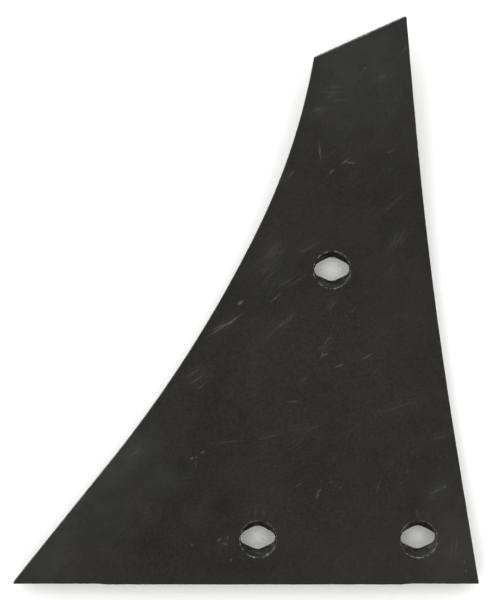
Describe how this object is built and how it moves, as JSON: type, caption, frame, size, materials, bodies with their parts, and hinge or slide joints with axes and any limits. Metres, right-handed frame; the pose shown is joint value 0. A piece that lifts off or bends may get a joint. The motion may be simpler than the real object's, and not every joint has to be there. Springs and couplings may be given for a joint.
{
  "type": "mouldboard front section",
  "caption": "Gently dished steel shin plate of a plough mouldboard, with hollow side edges, a slanted top and countersunk oval-neck bolt holes.",
  "frame": {"origin": "middle of the plate's box, on the lowest line of its bowed back", "axes": "+X along the share edge towards the shin edge, +Y up the plate from the share edge to the slanted top, +Z out of the working face"},
  "size_m": [0.3303, 0.3982, 0.0248],
  "materials": {
    "blackened_steel": "thin satin black coating on hot-formed steel, lightly scuffed"
  },
  "bodies": {
    "root": {"shin_plate": "blackened_steel"}
  },
  "joints": []
}
